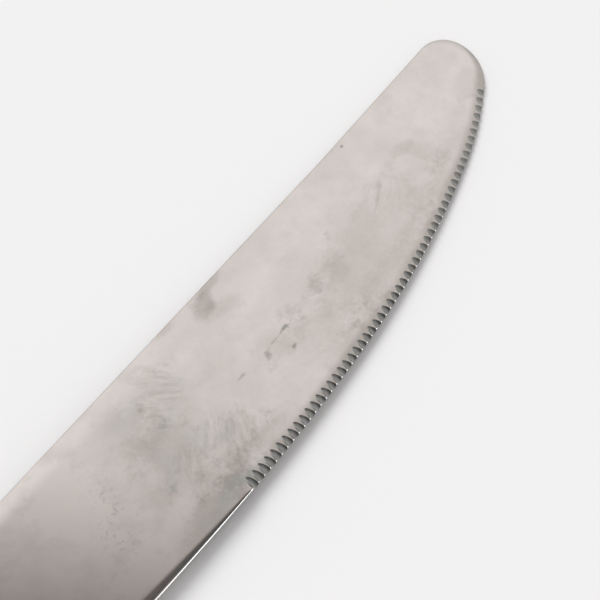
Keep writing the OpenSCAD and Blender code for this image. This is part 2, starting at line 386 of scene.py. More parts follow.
    def _rounded(self, a: np.ndarray, b: np.ndarray, c: np.ndarray, radius: float) -> np.ndarray:
        """Points of the arc that rounds the corner b between a and c.

        Args:
            a: Point before the corner.
            b: The corner.
            c: Point after it.
            radius: The arc's radius.

        Returns:
            The arc's points from a's side to c's side.
        """
        u, w = (a - b) / np.linalg.norm(a - b), (c - b) / np.linalg.norm(c - b)
        half = math.acos(float(u @ w)) / 2
        bisector = (u + w) / np.linalg.norm(u + w)
        middle = b + bisector * radius / math.sin(half)
        p, q = b + u * radius / math.tan(half), b + w * radius / math.tan(half)
        start = math.atan2(*(p - middle)[::-1])
        turn = (math.atan2(*(q - middle)[::-1]) - start + math.pi) % (2 * math.pi) - math.pi
        angle = start + turn * np.linspace(0, 1, self.corner_points)
        return middle + radius * np.column_stack([np.cos(angle), np.sin(angle)])

    def _blunt(self, arc: np.ndarray) -> np.ndarray:
        """The outline from the neck over the heel to the start of the serrations.

        Args:
            arc: Points of the blunt edge, from the serrations to the heel's corner.

        Returns:
            The outline's points, one row each.
        """
        neck = np.array([self.neck_x, self.spine_y - self.neck_w])
        root = np.array([0.0, neck[1]])
        notch = self._rounded(root, neck, arc[-1], self.neck_r)
        heel = self._rounded(neck, arc[-1], arc[-2], self.heel_r)
        ahead = arc[::-1][arc[::-1, 0] > heel[-1, 0]]
        return np.concatenate([root[None], notch, heel, ahead])

    def _rest(self) -> tuple[float, np.ndarray]:
        """Pitch and place at which the knife lies on its butt and its tip.

        Returns:
            The pitch in radians and the shift in millimetres.
        """
        x = np.linspace(0, self.cap_x, self.body_rings + 1)
        turn = np.radians(self.butt_turn) * np.arange(1, self.cap_rings + 1) / self.cap_rings
        rings = self.handle_rings(0, x, turn, math.sin(math.radians(self.butt_turn)))
        butt = np.column_stack([-self.mouth_braze_t - rings[:, 0], -self.seam_t / 2 - rings[:, 2]])
        tip = np.column_stack([self.sweep[:, 0], -self.half_t(*self.sweep.T)])
        rise = tip[None, :, 1] - butt[:, None, 1]
        run = tip[None, :, 0] - butt[:, None, 0]
        slope = float((rise / run).min(1).max())
        pitch = math.atan(slope)
        cos, sin = math.cos(pitch), math.sin(pitch)
        low = float((tip[:, 1] - tip[:, 0] * slope).min()) * cos
        front = float((tip[:, 0] * cos - tip[:, 1] * sin).max())
        high = CAD_BOUNDS[1] / MM
        return pitch, np.array([high.x - front, high.y - self.butt_w / 2, -low])


def new_object(name: str, data: bpy.types.ID) -> bpy.types.Object:
    """Adds an object to the scene.

    Args:
        name: The object's name.
        data: Its mesh, lamp or camera.

    Returns:
        The new object.
    """
    item = bpy.data.objects.new(name, data)
    bpy.context.scene.collection.objects.link(item)
    return item


class Skin:
    """Vertices and faces of a closed surface, gathered as whole arrays."""

    def __init__(self) -> None:
        """Starts with nothing."""
        self.points: list[np.ndarray] = []
        # painted shade of each point, which stands in for dark reflections
        self.grime: list[np.ndarray] = []
        self.faces: list[list[int]] = []
        self.ground: list[float] = []
        self.smooth: list[bool] = []
        self.count = 0
        self.inset: Optional[np.ndarray] = None

    def add(self, points: np.ndarray) -> np.ndarray:
        """Adds a grid of points.

        Args:
            points: An array of points, whose last axis is x, y, z and, where it has a fourth, painted
                shade.

        Returns:
            The points' numbers, in the grid's own shape.
        """
        grid = np.arange(points[..., 0].size).reshape(points.shape[:-1]) + self.count
        rows = points.reshape(grid.size, -1)
        self.points.append(rows[:, :3])
        self.grime.append(rows[:, 3] if rows.shape[1] > 3 else np.zeros(grid.size))
        self.count += grid.size
        return grid

    def quads(self, grid: np.ndarray, ground: Number = Cut.POLISHED) -> None:
        """Adds a face between each point of a grid and its neighbours.

        Args:
            grid: Numbers of the points.
            ground: A Cut for all the faces, or one for each.
        """
        corners = [grid[:-1, :-1], grid[1:, :-1], grid[1:, 1:], grid[:-1, 1:]]
        marks = np.broadcast_to(ground, corners[0].shape)
        self.polygons(np.stack(corners, -1).reshape(-1, 4), marks.ravel(), True)

    def polygons(self, rows: np.ndarray, ground: Number = Cut.POLISHED,
                 smooth: bool = False) -> None:
        """Adds faces with the same number of corners, one a row.

        Args:
            rows: Numbers of the points.
            ground: A Cut for all the faces, or one for each.
            smooth: Whether they are shaded as one with their neighbours.
        """
        rows = np.atleast_2d(rows)
        self.faces += rows.tolist()
        self.ground += np.broadcast_to(ground, len(rows)).tolist()
        self.smooth += [smooth] * len(rows)

    def build(self, name: str, plan: KnifePlan) -> bpy.types.Object:
        """Makes an object of the surface, laid on the table.

        Args:
            name: The object's name.
            plan: The knife's plan, which knows its place.

        Returns:
            The new object.
        """
        mesh = bpy.data.meshes.new(name)
        mesh.from_pydata(plan.to_table(np.concatenate(self.points)), [], self.faces)
        # the painted shade goes to the mesh as a number at each point
        marks = [("ground", "FACE", np.array(self.ground)),
                 ("grime", "POINT", np.concatenate(self.grime))]
        if self.inset is not None:
            marks.append(("inset", "POINT", self.inset))
        for word, domain, values in marks:
            mark = mesh.attributes.new(word, "FLOAT", domain)
            mark.data.foreach_set("value", values.astype(np.float32))
        work = bmesh.new()
        work.from_mesh(mesh)
        bmesh.ops.recalc_face_normals(work, faces=work.faces)
        work.to_mesh(mesh)
        work.free()
        mesh.set_sharp_from_angle(angle=SHARP_ANGLE)
        mesh.polygons.foreach_set("use_smooth", self.smooth)
        return new_object(name, mesh)


@dataclass(frozen=True)
class Grain:
    """Soft noise from 0 to 1 about 0.5: lumps a unit of length, finer layers and their strength."""

    scale: float
    layers: float = 3.0
    rough: float = 0.5


class Value:
    """A socket that varies over a surface, with the arithmetic that the finishes use."""

    def __init__(self, shader: "Shader", socket: bpy.types.NodeSocket) -> None:
        """Keeps the socket and the shader that it belongs to."""
        self.shader = shader
        self.socket = socket

    def _math(self, operation: str, first: Any, second: Any) -> "Value":
        """Adds a Math node of two values."""
        return self.shader.node("ShaderNodeMath", {"operation": operation}, {0: first, 1: second})

    def __add__(self, other: Any) -> "Value":
        """Sum."""
        return self._math("ADD", self, other)

    __radd__ = __add__

    def __sub__(self, other: Any) -> "Value":
        """Difference."""
        return self._math("SUBTRACT", self, other)

    def __rsub__(self, other: Any) -> "Value":
        """Difference from a number."""
        return self._math("SUBTRACT", other, self)

    def __mul__(self, other: Any) -> "Value":
        """Product."""
        return self._math("MULTIPLY", self, other)

    __rmul__ = __mul__

    def most(self, other: Any) -> "Value":
        """The larger of two values."""
        return self._math("MAXIMUM", self, other)

    def output(self, name: str) -> "Value":
        """Another output of the same node."""
        return Value(self.shader, self.socket.node.outputs[name])

    def _range(self, fade: Fade, start: float, end: float) -> "Value":
        """Adds a Map Range node that goes from start to end over a fade."""
        return self.shader.node("ShaderNodeMapRange", {"interpolation_type": "SMOOTHSTEP"}, {
            "Value": self, "From Min": fade.low, "From Max": fade.high, "To Min": start, "To Max": end})

    def rise(self, fade: Fade) -> "Value":
        """Smooth rise from 0, where the value is low, to the fade's amount, where it is high."""
        return self._range(fade, 0.0, fade.amount)

    def fall(self, fade: Fade, strength: float = 1.0) -> "Value":
        """Smooth fall from strength times the fade's amount, where the value is low, to 0."""
        return self._range(fade, strength * fade.amount, 0.0)


class Shader:
    """A node tree that is written as expressions."""

    def __init__(self, tree: bpy.types.NodeTree) -> None:
        """Takes over a node tree and empties it."""
        self.tree = tree
        tree.nodes.clear()

    def node(self, kind: str, settings: Optional[dict[str, Any]] = None,
             inputs: Optional[dict[Union[str, int], Any]] = None,
             output: Union[str, int] = 0) -> Value:
        """Adds a node.

        Args:
            kind: The node's type.
            settings: Its properties, which are set first.
            inputs: Values or links of its sockets, by name or number.
            output: Name or number of the output that is given back.

        Returns:
            That output, or the node's first one.
        """
        new = self.tree.nodes.new(kind)
        for name, value in (settings or {}).items():
            setattr(new, name, value)
        for name, value in (inputs or {}).items():
            if isinstance(value, Value):
                self.tree.links.new(value.socket, new.inputs[name])
            else:
                new.inputs[name].default_value = value
        return Value(self, new.outputs[output]) if new.outputs else Value(self, new.inputs[0])

    def mix(self, share: Any, start: Any, end: Any) -> Value:
        """Colour between two colours.

        Args:
            share: How far to go, from 0 to 1.
            start: The colour at 0.
            end: The colour at 1.

        Returns:
            The mixed colour.
        """
        start, end = (c if isinstance(c, Value) else (*c, 1.0) for c in (start, end))
        return self.node("ShaderNodeMix", {"data_type": "RGBA"}, {0: share, 6: start, 7: end}, 2)

    def dot(self, vector: Value, axis: Axis) -> Value:
        """Dot product of a vector and a fixed axis."""
        return self.node("ShaderNodeVectorMath", {"operation": "DOT_PRODUCT"}, {0: vector, 1: axis}, 1)

    def attribute(self, name: str) -> Value:
        """Number that the mesh keeps at its points or faces under a name."""
        return self.node("ShaderNodeAttribute", {"attribute_name": name}, None, "Fac")

    def noise(self, place: Value, grain: Grain) -> Value:
        """Noise of a grain at some coordinates."""
        return self.node("ShaderNodeTexNoise", None, {
            "Vector": place, "Scale": grain.scale, "Detail": grain.layers, "Roughness": grain.rough})

    def local(self, place: Value, middle: Axis, turn: float, size: Axis) -> Value:
        """Coordinates about a middle, turned in plan.

        Args:
            place: Coordinates to start from.
            middle: Their new zero.
            turn: How far the new axes are turned, in degrees.
            size: What becomes 1 along each new axis.

        Returns:
            The new coordinates.
        """
        return self.node("ShaderNodeMapping", {"vector_type": "TEXTURE"}, {
            "Vector": place, "Location": middle, "Rotation": (0, 0, math.radians(turn)), "Scale": size})

    def bump(self, height: Value, strength: float, distance: float) -> Value:
        """Normal of a bumpy surface whose full height is a distance in millimetres."""
        return self.node("ShaderNodeBump", None, {
            "Strength": strength, "Distance": distance * MM, "Height": height})


def new_material(name: str) -> tuple[bpy.types.Material, Shader]:
    """Makes a material with an empty node tree.

    Args:
        name: The material's name.

    Returns:
        The material and the shader that writes its tree.
    """
    material = bpy.data.materials.new(name)
    material.use_nodes = True
    return material, Shader(material.node_tree)


@dataclass(frozen=True)
class Smudge:
    """A patch of film on the blade, an oval with a ragged rim in the knife's millimetres."""

    x: float
    y: float
    half_l: float
    half_w: float
    turn: float
    strength: float

    @classmethod
    def table(cls, *rows: tuple[float, ...]) -> tuple["Smudge", ...]:
        """Patches from rows of their numbers."""
        return tuple(cls(*row) for row in rows)


class Finish:
    """Base of the finishes: makes a material whose Principled BSDF a subclass fills."""

    name = "finish"

    def material(self, plan: KnifePlan) -> bpy.types.Material:
        """Makes the material.

        Args:
            plan: The knife's plan, which knows where it lies.

        Returns:
            The new material.
        """
        material, shader = new_material(self.name)
        metres = shader.node("ShaderNodeTexCoord", output="Object")
        place = shader.node("ShaderNodeVectorMath", {"operation": "SCALE"},
                            {0: metres, "Scale": 1 / MM})
        surface = shader.node("ShaderNodeBsdfPrincipled", None, self.inputs(shader, place, plan))
        shader.node("ShaderNodeOutputMaterial", None, {"Surface": surface})
        return material

    def inputs(self, shader: Shader, place: Value, plan: KnifePlan) -> dict[str, Any]:
        """Sockets of the Principled BSDF, for a subclass to give.

        Args:
            shader: The material's node tree.
            place: Object coordinates in millimetres.
            plan: The knife's plan.

        Returns:
            Values or links by socket name.
        """
        raise NotImplementedError


@dataclass(frozen=True)
class BladeSteel(Finish):
    """Polished steel under a thin film, with pale ground grooves, painted shade in them and specks.

    The film is cloudy. It is thicker in smudges and along the serrations, streaky in ripples and
    broken into flecks towards the heel, and its tint warms towards the tip. The painted shade is a
    dull dark coat that hides the metal where it stands in for dark reflections in the grooves and
    along spine and nose, and it pales towards the tip.
    """

    name: str = "blade_steel"
    # colours, and how rough each surface is
    steel: Colour = (0.675, 0.618, 0.592)
    film: Colour = (0.415, 0.375, 0.345)
    cool_film: Colour = (0.385, 0.378, 0.352)
    stain: Colour = (0.30, 0.30, 0.27)
    ground: Colour = (0.50, 0.49, 0.475)
    edge: Colour = (0.78, 0.78, 0.77)
    # painted shade: a dark coat that stands in for dark reflections, and its paler colour towards the tip
    grime: Colour = (0.045, 0.046, 0.041)
    pale_painted_shade: Colour = (0.24, 0.23, 0.215)
    roughness: float = 0.12
    film_roughness: float = 0.05
    stain_roughness: float = 0.2
    ground_roughness: float = 0.5
    edge_roughness: float = 0.12
    # film over the blade and its tint; warming of the tint and paling of the painted shade go by x
    haze: float = 0.03
    clouds: Grain = Grain(0.13, 4.0, 0.55)
    cloudy: Fade = Fade(0.36, 0.66, 0.22)
    rags: Grain = Grain(0.45, 4.0, 0.6)
    ragged: Fade = Fade(0.4, 0.75, 0.16)
    edge_film: Fade = Fade(0.6, 2.0, 0.78)
    tints: Grain = Grain(0.3, 2.0)
    cool: Fade = Fade(0.4, 0.65)
    warming: Fade = Fade(56.0, 76.0, 0.75)
    paling: Fade = Fade(80.0, 116.0)
    waves: Grain = Grain(0.22, 2.0)
    wave_strength: float = 0.12
    wave_height: float = 0.02
    # rims of the patches, by the distance from their middle, and what breaks them up
    smudge_rim: Fade = Fade(0.35, 1.25)
    ripple_rim: Fade = Fade(0.3, 1.1, 2.0)
    fleck_rim: Fade = Fade(0.5, 1.2)
    speck_rim: Fade = Fade(0.2, 1.35)
    dust: Grain = Grain(2.0, 3.0, 0.6)
    rag_wobble: float = 1.6
    dust_wobble: float = 0.5
    speck_wobble: float = 2.6
    strokes: Grain = Grain(0.9, 3.0, 0.65)
    stroke_size: Axis = (2.0, 0.55, 1.0)
    flecked: Fade = Fade(0.05, 0.17)
    patch_height: float = 1000.0
    # patches: x, y, half length, half width, turn and strength, which is negative for clean steel
    smudges: tuple[Smudge, ...] = Smudge.table(
        (88.0, -6.2, 14.0, 5.2, 6, 0.34), (104.2, -5.2, 2.8, 1.3, 10, 0.18),
        (71.0, -5.6, 3.8, 2.4, 0, 0.24), (61.5, -12.0, 4.6, 1.7, 0, 0.32),
        (78.0, -12.0, 7.0, 1.8, 6, 0.28), (52.5, -10.3, 3.4, 1.8, 10, 0.18),
        (80.2, -4.0, 1.7, 1.1, 35, 0.42), (83.0, -5.1, 2.2, 1.6, 0, 0.20),
        (94.8, -2.3, 2.3, 0.35, 32, 0.30), (102.3, -0.4, 1.9, 1.1, -20, 0.26),
        (103.8, -2.8, 2.6, 1.5, -50, 0.20), (101.0, -7.3, 3.2, 1.5, 18, 0.25),
        (108.0, -4.5, 6.0, 2.2, 20, 0.20), (115.5, -0.8, 3.0, 1.8, 25, 0.25),
        (69.3, 4.6, 1.9, 1.4, 20, 0.55), (71.8, 5.9, 2.4, 0.8, 0, 0.45),
        (64.0, 6.0, 1.8, 0.6, 0, 0.30), (70.5, 2.6, 3.4, 1.3, -20, 0.22),
        (57.5, 1.5, 3.4, 4.8, 0, 0.22), (52.5, -4.2, 5.0, 4.6, 10, 0.30),
        (47.6, -7.3, 1.9, 1.9, 0, 0.20), (50.5, -13.4, 7.0, 2.7, 4, 0.50),
        (56.0, -12.0, 3.4, 2.4, 30, 0.30), (59.5, -8.8, 3.2, 4.0, 0, 0.20),
        (57.0, -4.0, 9.0, 8.5, 0, 0.22), (51.0, 0.5, 5.2, 4.2, 0, 0.26),
        (57.5, -10.5, 5.5, 3.2, 20, 0.16), (74.5, -8.8, 6.5, 4.6, 0, 0.26),
        (79.5, -2.0, 6.5, 3.6, 0, 0.24), (71.0, 4.2, 10.0, 3.0, 0, 0.17),
        (88.5, -9.6, 9.5, 2.0, 8, 0.25), (100.6, 1.8, 2.8, 3.6, 0, 0.15),
        (98.0, -7.2, 3.6, 2.2, 0, 0.14), (40.5, 0.5, 4.6, 6.0, 0, -0.24),
        (39.5, -12.0, 5.0, 3.4, 0, -0.25))
    ripples: tuple[Smudge, ...] = Smudge.table(
        (57.3, 1.2, 4.2, 5.6, -50, 0.50), (59.2, -8.5, 4.4, 5.0, 50, 0.60),
        (53.0, -7.5, 3.4, 3.4, 40, 0.40), (95.5, -2.8, 5.0, 3.4, 32, 0.30),
        (43.3, -3.0, 2.6, 2.6, -20, 0.45))
    flecks: Smudge = Smudge(42.4, -4.8, 6.8, 3.2, 65, 0.36)
    specks: tuple[Smudge, ...] = Smudge.table(
        (73.2, -4.82, 0.90, 0.26, 0, 0.75), (71.3, -4.95, 1.2, 0.16, 0, 0.35),
        (65.0, -4.9, 0.6, 0.20, 0, 0.42), (69.2, -5.6, 0.62, 0.50, 20, 0.50),
        (72.1, -7.2, 0.45, 0.28, 20, 0.60), (97.6, 5.6, 0.26, 0.20, 0, 0.80))

    def patch(self, shader: Shader, place: Value, plan: KnifePlan, smudge: Smudge) -> Value:
        """Distance from a smudge's middle, 1 at its rim.

        Args:
            shader: The material's node tree.
            place: Object coordinates in millimetres.
            plan: The knife's plan.
            smudge: The patch.

        Returns:
            The distance in shares of the patch's size.
        """
        on_face = np.array([[smudge.x, smudge.y, plan.half_t(smudge.x, smudge.y)]])
        middle = tuple(plan.to_table(on_face)[0] / MM)
        size = (smudge.half_l, smudge.half_w, self.patch_height)
        local = shader.local(place, middle, smudge.turn, size)
        return shader.node("ShaderNodeVectorMath", {"operation": "LENGTH"}, {0: local}, 1)

    def inputs(self, shader: Shader, place: Value, plan: KnifePlan) -> dict[str, Any]:
        """Steel, then film, specks, ground grooves, the bright edge and painted shade, each over the
        last.

        Args:
            shader: The material's node tree.
            place: Object coordinates in millimetres.
            plan: The knife's plan.

        Returns:
            Values or links by socket name.
        """
        ragged = shader.noise(place, self.rags)
        film = shader.noise(place, self.clouds).rise(self.cloudy) + ragged.rise(self.ragged)
        dust = shader.noise(place, self.dust) - 0.5
        wobble = (ragged - 0.5) * self.rag_wobble + dust * self.dust_wobble

        def near(smudge: Smudge, rim: Fade, waver: Value) -> Value:
            """Strength of a smudge, full inside its ragged rim."""
            return (self.patch(shader, place, plan, smudge) + waver).fall(rim, smudge.strength)

        for smudge in self.smudges:
            film = film + near(smudge, self.smudge_rim, wobble)
        for ripple in self.ripples:
            brushed = shader.local(place, ORIGIN, ripple.turn, self.stroke_size)
            strokes = shader.noise(brushed, self.strokes) - 0.5
            film = film + near(ripple, self.ripple_rim, wobble) * strokes
        film = film + near(self.flecks, self.fleck_rim, wobble) * dust.rise(self.flecked) + self.haze
        film = film + shader.attribute("inset").fall(self.edge_film)
        stains: Value = ragged * 0.0
        for speck in self.specks:
            stains = stains.most(near(speck, self.speck_rim, dust * self.speck_wobble))

        forward = shader.dot(place, FORWARD) - float(plan.place[0])
        cool = shader.noise(place, self.tints).rise(self.cool) * (1.0 - forward.rise(self.warming))
        finish = shader.attribute("ground")
        ground, edge = (finish.rise(Fade(cut - 1.0, float(cut))) for cut in (Cut.GROUND, Cut.EDGE))
        # painted shade kept at the points, where it stands in for dark reflections
        grime = shader.attribute("grime")
        colour = shader.mix(film, self.steel, shader.mix(cool, self.film, self.cool_film))
        colour = shader.mix(ground, shader.mix(stains, colour, self.stain), self.ground)
        colour = shader.mix(edge, colour, self.edge)
        # painted shade over everything, paler towards the tip; where it lies the steel is not metallic
        colour = shader.mix(grime, colour,
                            shader.mix(forward.rise(self.paling), self.grime, self.pale_painted_shade))
        rough = self.roughness + film * self.film_roughness + stains * self.stain_roughness
        rough = (1.0 - ground) * rough + ground * self.ground_roughness
        rough = (1.0 - edge) * rough + edge * self.edge_roughness
        waves = shader.bump(shader.noise(place, self.waves), self.wave_strength, self.wave_height)
        return {"Base Color": colour, "Metallic": 1.0 - grime, "Roughness": rough, "Normal": waves}


@dataclass(frozen=True)
class HandleSteel(Finish):
    """Mirror-polished steel with a faint brushed grain, hazy finger film and fine scuffs."""

    name: str = "handle_steel"
    steel: Colour = (0.72, 0.69, 0.67)
    film: Colour = (0.60, 0.57, 0.54)
    roughness: float = 0.12
    film_roughness: float = 0.14
    clouds: Grain = Grain(0.08, 4.0, 0.6)
    cloudy: Fade = Fade(0.45, 0.75, 0.5)
    scuffs: Grain = Grain(1.6, 2.0)
    scuffed: Fade = Fade(0.62, 0.78, 0.12)
    brushing: Grain = Grain(1.0, 4.0, 0.7)
    brush_stretch: Axis = (0.12, 4.0, 4.0)
    brush_film: float = 0.1
    brush_strength: float = 0.06
    brush_height: float = 0.02

    def inputs(self, shader: Shader, place: Value, plan: KnifePlan) -> dict[str, Any]:
        """Polished steel with long fine grain along the handle and cloudy finger film.

        Args:
            shader: The material's node tree.
            place: Object coordinates in millimetres.
            plan: The knife's plan, not used.

        Returns:
            Values or links by socket name.
        """
        stretched = shader.node("ShaderNodeMapping", None, {"Vector": place, "Scale": self.brush_stretch})
        brushing = shader.noise(stretched, self.brushing)
        film = shader.noise(place, self.clouds).rise(self.cloudy)
        film = film + shader.noise(place, self.scuffs).rise(self.scuffed) + brushing * self.brush_film
        return {"Base Color": shader.mix(film, self.steel, self.film), "Metallic": 1.0,
                "Roughness": self.roughness + film * self.film_roughness,
                "Normal": shader.bump(brushing, self.brush_strength, self.brush_height)}


@dataclass(frozen=True)
class Braze(Finish):
    """Silver braze, a little yellower and duller than the steel, in clouds of tarnish."""

    name: str = "braze"
    bright: Colour = (0.70, 0.65, 0.52)
    dull: Colour = (0.48, 0.44, 0.36)
    clouds: Grain = Grain(0.6, 4.0, 0.6)
    tarnish: Fade = Fade(0.4, 0.7)
    roughness: float = 0.3
    tarnish_roughness: float = 0.2

    def inputs(self, shader: Shader, place: Value, plan: KnifePlan) -> dict[str, Any]:
        """Braze that varies from bright to dull along the joint.

        Args:
            shader: The material's node tree.
            place: Object coordinates in millimetres.
            plan: The knife's plan, not used.

        Returns:
            Values or links by socket name.
        """
        tarnish = shader.noise(place, self.clouds).rise(self.tarnish)
        return {"Base Color": shader.mix(tarnish, self.bright, self.dull), "Metallic": 1.0,
                "Roughness": self.roughness + tarnish * self.tarnish_roughness}


@dataclass(frozen=True)
class Cement(Finish):
    """Set cement: a dark grey binder with pale grains of sand."""

    name: str = "cement"
    binder: Colour = (0.36, 0.34, 0.31)
    sand: Colour = (0.50, 0.47, 0.42)
    grains: Grain = Grain(2.2, 5.0, 0.7)
    sandy: Fade = Fade(0.5, 0.7)
    roughness: float = 0.92
    grain_strength: float = 0.4
    grain_height: float = 0.1

    def inputs(self, shader: Shader, place: Value, plan: KnifePlan) -> dict[str, Any]:
        """Grey binder with pale grains.

        Args:
            shader: The material's node tree.
            place: Object coordinates in millimetres.
            plan: The knife's plan, not used.

        Returns:
            Values or links by socket name.
        """
        grains = shader.noise(place, self.grains)
        return {"Base Color": shader.mix(grains.rise(self.sandy), self.binder, self.sand),
                "Roughness": self.roughness,
                "Normal": shader.bump(grains, self.grain_strength, self.grain_height)}


class Columns:
    """Rows of points that follow the blade's outline.

    The rows along spine and edge are given by their depth in from the outline. Between the two
    sets lie a number of even steps, and a groove's own columns have only the first, fine rows.
    """

    spine = np.array([0, 0.025, 0.055, 0.09, 0.14, 0.28, 0.5, 0.8, 1.1, 1.45, 1.85, 2.25, 2.65])
    edge = np.array([0, 0, 0.02, 0.08, 0.16, 0.27, 0.45, 0.7, 1.0, 1.4, 1.9, 2.6])
    between = 10
    fine = 7


@dataclass
class Blade:
    """Blade, bolster and tang in one piece, with grooves ground into the right face.

    Either face falls towards the spine by a crown and a small corner, and towards the edge by a
    chamfer on a relief. Painted shade, which stands in for dark reflections, is held as a coat
    from 0 to 1: a dark rim along the spine and the nose, on the wall of each groove, at its inner
    end and, towards the tip, on its floor. The wall's and the side's fades go across a groove, the
    end's along it, and that of the spread towards the tip along the blade.
    """

    plan: KnifePlan
    # grooves: their size, the land that they leave at the edge, and the crease where they end
    groove_pitch: float = 1.09
    groove_r: float = 0.49
    groove_slope: float = 22.0
    groove_lean: float = 1.6
    groove_land: float = 0.06
    tip_land: float = 0.14
    tip_land_from: float = 100.0
    groove_end: float = 3.4
    crease: float = 0.04
    crease_rounding: float = 0.012
    # painted shade in them, which stands in for dark reflections of their walls and spreads towards the
    # tip
    painted_wall_shade: Fade = Fade(0.2, 0.75, 0.95)
    painted_end_shade: Fade = Fade(0.62, 0.9)
    painted_end_shade_side: Fade = Fade(-0.3, 0.05)
    painted_end_shade_thinning: float = 0.25
    painted_floor_shade: float = 0.45
    painted_shade_spread: float = 0.3
    # how far the painted shade spreads across the grooves towards the tip
    tipward_shade: Fade = Fade(62.0, 92.0)
    # rounding, and a painted dark rim along spine and nose that stands in for a dark reflection
    spine_crown: Rim = Rim(0.105, 2.65, 2.6)
    painted_spine_shade: Rim = Rim(0.35, 0.16, 1.5)
    nose_crown: Rim = Rim(0.12, 1.3, 2.8)
    painted_nose_shade: Rim = Rim(0.30, 1.0, 1.3)
    nose_foot: Rim = Rim(0.0, 1.3, 2.0)
    nose_blend: Fade = Fade(0.0, 0.3)
    nose_end: Fade = Fade(0.82, 1.0)
    corner: Rim = Rim(0.05, 0.14, 2.0)
    # chamfer and relief along the edge
    chamfer: float = 0.052
    chamfer_spread: float = 0.0036
    relief_slope: float = 0.39
    relief_w: float = 0.19
    relief_spread: float = 0.038
    relief_start: float = 0.15
    relief_power: float = 2.0
    # where the blade runs into the bolster
    handle_n: float = 2.5
    root_n: float = 7.0
    face_start: Fade = Fade(4.0, 13.0)
    join_end: float = 20.0
    join_rounding: float = 0.2
    least_face: float = 0.1
    least_t: float = 0.015
    # points of the mesh
    groove_steps: int = 16
    groove_gap: float = 0.005
    edge_points: int = 6000
    least_creases: float = 2.5
    floor_shares: tuple[float, ...] = (0.0, 0.45, 0.8)
    round_rows_l: float = 8.0
    rib_stops: tuple[float, ...] = (0.0, 11.0, 21.0)
    rib_counts: tuple[int, ...] = (22, 60, 51)
    nose_columns: int = 90
    far_inset: float = 3.0
    # tang
    tang_l: float = 54.0
    tang_w: float = 7.0
    tang_t: float = 2.8
    tang_start: float = 1.0
    tang_end_share: float = 0.75
    tang_notch_r: float = 1.2
    tang_notch_shares: tuple[float, ...] = (0.4, 0.7)
    tang_notch_points: int = 17

    def bolster(self, x: np.ndarray, y: np.ndarray) -> np.ndarray:
        """Height of the bolster: a superellipse b * (1 - |(y - yc) / a|^n)^(1/n) that squares up.

        Args:
            x: Distances from the handle's mouth.
            y: Distances across.

        Returns:
            Half the bolster's thickness there.
        """
        a, b = self.plan.bolster_half(x)
        n = ease(self.handle_n, self.root_n, np.clip(x / self.plan.bolster_l, 0, 1))
        across = np.clip(np.abs((y - self.plan.spine_y + a) / a), 0, 1)
        return b * (1 - across ** n) ** (1 / n)

    def behind(self, x: Number) -> Number:
        """Distance behind the serrations' start."""
        return np.maximum(self.plan.sweep_x - x, 0)

    def chamfer_at(self, x: Number) -> Number:
        """Width of the small chamfer along the edge, which grows behind the serrations."""
        return self.chamfer + self.chamfer_spread * self.behind(x)

    def edge_fall(self, x: np.ndarray, depth: np.ndarray) -> np.ndarray:
        """Fall of a face at a depth in from the edge: the chamfer, on the relief of the blunt edge.

        The relief deepens and widens towards the heel, and is level under the chamfer.

        Args:
            x: Distances from the handle's mouth.
            depth: Depths in from the outline.

        Returns:
            The fall of either face.
        """
        chamfer, behind = self.chamfer_at(x), self.behind(x)
        width = self.relief_w + self.relief_spread * behind
        fall = self.relief_slope * width / self.relief_power * smoothstep(0, self.relief_start, behind)
        relief = Rim(fall, chamfer + width, self.relief_power)
        return np.maximum(chamfer - depth, 0) + relief.at(np.maximum(depth, chamfer))

    def face(self, x: np.ndarray, y: np.ndarray, spine: np.ndarray, edge: np.ndarray) -> np.ndarray:
        """Height of a face without grooves: the taper less the falls, run into the bolster.

        Args:
            x: Distances from the handle's mouth.
            y: Distances across.
            spine: Fall of the rounding along the spine.
            edge: Fall of chamfer and relief along the edge.

        Returns:
            The height over the blade's middle plane.
        """
        plan = self.plan
        flat = np.maximum(plan.half_t(x, y) - spine - edge, self.least_face)
        flat = flat * self.face_start.at(x)
        rounding = self.join_rounding * plan.root_share(x, self.join_end)
        joined = smooth_max(flat, self.bolster(x, y), rounding)
        return np.maximum(np.where(x < self.join_end, joined, flat), self.least_t)

    def ribs(self, x: np.ndarray) -> np.ndarray:
        """Points across the blade at each x, close together along spine and edge.

        Beside the handle they follow the cosine of an even turn instead, as the section is round.

        Args:
            x: Distances from the handle's mouth.

        Returns:
            A grid of points on the right face, one row of them a rib, from spine to edge, with
            the painted shade as a fourth number.
        """
        high, low = self.plan.upper(x)[:, None], self.plan.lower(x)[:, None]
        lean_high = np.hypot(1, np.gradient(high[:, 0], x))[:, None]
        lean_low = np.hypot(1, np.gradient(low[:, 0], x))[:, None]
        rows = Columns.edge + self.chamfer_at(x)[:, None] * (np.arange(len(Columns.edge)) > 0)
        top, bottom = high - Columns.spine, low + (rows * lean_low)[:, ::-1]
        share = np.arange(1, Columns.between) / Columns.between
        middle = top[:, -1:] + (bottom[:, :1] - top[:, -1:]) * share
        bands = np.concatenate([top, middle, bottom], axis=1)
        turn = np.pi * np.arange(bands.shape[1]) / (bands.shape[1] - 1)
        round_rows = (high + low) / 2 + (high - low) / 2 * np.cos(turn)
        y = round_rows + (bands - round_rows) * smoothstep(self.round_rows_l, self.join_end, x)[:, None]
        x = np.broadcast_to(x[:, None], y.shape)
        depth = (high - y) / lean_high
        spine = self.spine_crown.at(depth) + self.corner.at(depth)
        z = self.face(x, y, spine, self.edge_fall(x, (y - low) / lean_low))
        # the fourth number is the painted dark rim along the spine
        return np.stack([x, y, z, self.painted_spine_shade.at(depth)], -1)

